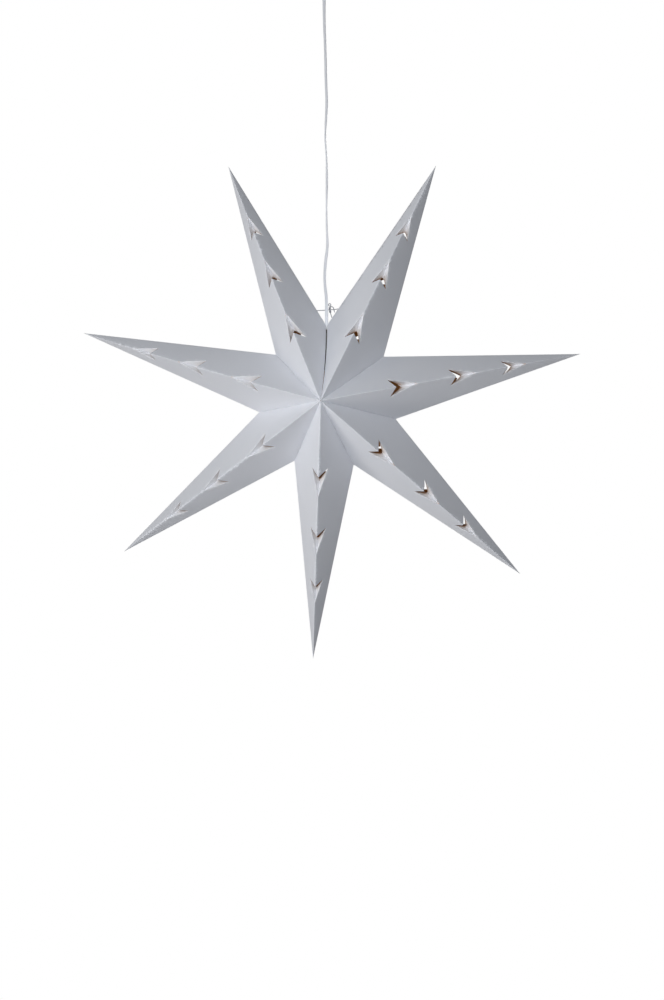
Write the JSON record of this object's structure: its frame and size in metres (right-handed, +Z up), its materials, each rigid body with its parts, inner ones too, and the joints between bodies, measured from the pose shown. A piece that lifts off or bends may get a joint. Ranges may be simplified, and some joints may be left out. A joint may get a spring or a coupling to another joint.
{
  "type": "paper star pendant lamp",
  "caption": "Folded white card star with swallow-tail cuts on its ridges, hung by a thin flat twin cord from a round ceiling cup, with a small screw-base lamp holder and bulb inside.",
  "frame": {"origin": "centre of the ceiling bracket, on the underside of the ceiling", "axes": "+Z up to the ceiling, the star front faces -Y, +X to its right"},
  "size_m": [0.7952, 0.21, 1.1582],
  "materials": {
    "white_card": "matt white card, uncoated",
    "grey_string": "thin twisted pale grey string",
    "white_cord": "flat twin PVC cord, slightly satin",
    "core_insulation": "PVC core insulation",
    "black_plastic": "moulded thermoset",
    "cream_ceramic": "unglazed steatite",
    "cup_plastic": "satin injection moulded plastic",
    "terminal_nylon": "translucent nylon",
    "brass": "stamped brass",
    "nickel": "nickel plated brass",
    "solder": "tin solder",
    "black_glass": "black vitrite",
    "clear_glass": "clear blown glass",
    "filament_yellow": "phosphor-coated LED filament",
    "zinc_steel": "zinc plated steel"
  },
  "bodies": {
    "ceiling_fitting": {"ceiling_bracket": "zinc_steel", "canopy_cup": "cup_plastic", "canopy_side_screws": "zinc_steel", "terminal_block": "terminal_nylon", "terminal_sleeves": "brass", "terminal_screws": "zinc_steel", "block_screw": "zinc_steel", "cord_grip": "cup_plastic", "cord_grip_nut": "cup_plastic", "cord_grip_screw": "zinc_steel", "cord_in_cup": "white_cord", "cores_in_cup": "core_insulation"},
    "cord_bend": {"upper_cord": "white_cord"},
    "lamp_set": {"supply_cord": "white_cord", "cord_in_holder": "white_cord", "cores_in_holder": "core_insulation", "cord_clamp": "black_plastic", "cord_clamp_screws": "zinc_steel", "holder_cap": "black_plastic", "holder_body": "black_plastic", "holder_insert": "cream_ceramic", "holder_screw_shell": "brass", "holder_centre_spring": "brass", "holder_terminals": "brass", "holder_terminal_screws": "zinc_steel"},
    "bulb_contact_end": {"bulb_contact": "solder", "bulb_insulator": "black_glass"},
    "bulb": {"bulb_cap": "nickel", "bulb_glass": "clear_glass", "bulb_stem": "clear_glass", "bulb_filaments": "filament_yellow", "bulb_leads": "nickel"},
    "star": {"point_1": "white_card", "point_2": "white_card", "point_3": "white_card", "point_4": "white_card", "point_5": "white_card", "point_6": "white_card", "point_7": "white_card", "glue_web_1": "white_card", "glue_web_2": "white_card", "glue_web_3": "white_card", "glue_web_4": "white_card", "glue_web_5": "white_card", "glue_web_6": "white_card", "tie_string": "grey_string", "tie_knot": "grey_string"}
  },
  "joints": [
    {"name": "swing_fore_aft", "type": "hinge", "parent": "ceiling_fitting", "child": "cord_bend", "pos_m": [0, 0, -0.0795], "axis": [1, 0, 0], "range_deg": [-15, 15]},
    {"name": "swing_sideways", "type": "hinge", "parent": "cord_bend", "child": "lamp_set", "pos_m": [0, 0, -0.0915], "axis": [0, 1, 0], "range_deg": [-15, 15]},
    {"name": "star_turn", "type": "hinge", "parent": "lamp_set", "child": "star", "pos_m": [0.0006, 0, -0.746], "axis": [0, 0, 1], "continuous": true},
    {"name": "bulb_travel", "type": "slide", "parent": "lamp_set", "child": "bulb_contact_end", "axis": [0, 0, -1], "range_m": [0, 0.0142]},
    {"name": "bulb_unscrew", "type": "hinge", "parent": "bulb_contact_end", "child": "bulb", "pos_m": [0.0006, 0, -0.746], "axis": [0, 0, -1], "range_deg": [0, 1800]}
  ],
  "couplings": [
    {"joint": "bulb_travel", "follows": "bulb_unscrew", "m_per_rad": 0.00044914}
  ]
}
